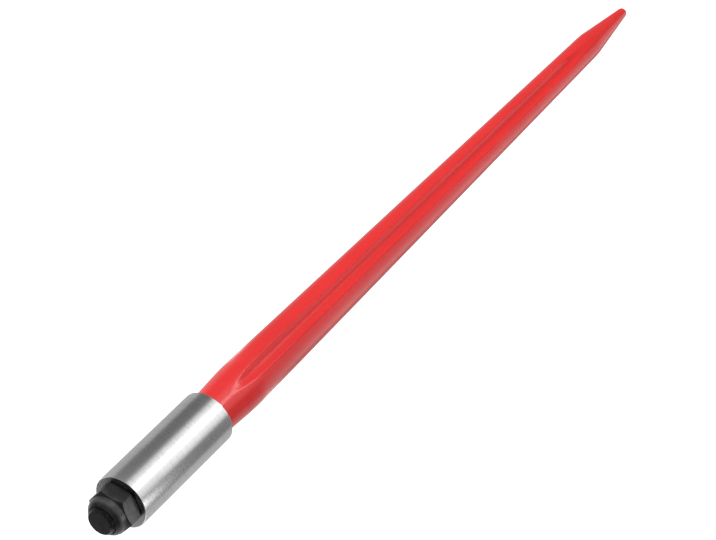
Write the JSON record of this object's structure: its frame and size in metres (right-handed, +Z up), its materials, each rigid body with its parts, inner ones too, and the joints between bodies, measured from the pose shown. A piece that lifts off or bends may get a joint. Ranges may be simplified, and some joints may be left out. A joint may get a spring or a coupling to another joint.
{
  "type": "bale spear",
  "caption": "Long tapered round bale spear with forged flutes and a blunt point, seated in a straight weld-in sleeve and held by a lock nut.",
  "frame": {"origin": "middle of the weld-in sleeve, on the spear's axis", "axes": "+X along the spear's axis, towards its tip; +Z up, the flutes' middle turned 31.5 degrees from it about the axis"},
  "size_m": [0.999, 0.055, 0.055],
  "materials": {
    "red_enamel": "glossy red enamel over the forging's skin",
    "turned_steel": "bare steel, turned bright, faint tool marks around it",
    "black_oxide": "black oxide, slightly oily satin"
  },
  "bodies": {
    "root": {"spear": "red_enamel", "weld_sleeve": "turned_steel", "lock_nut": "black_oxide"}
  },
  "joints": []
}
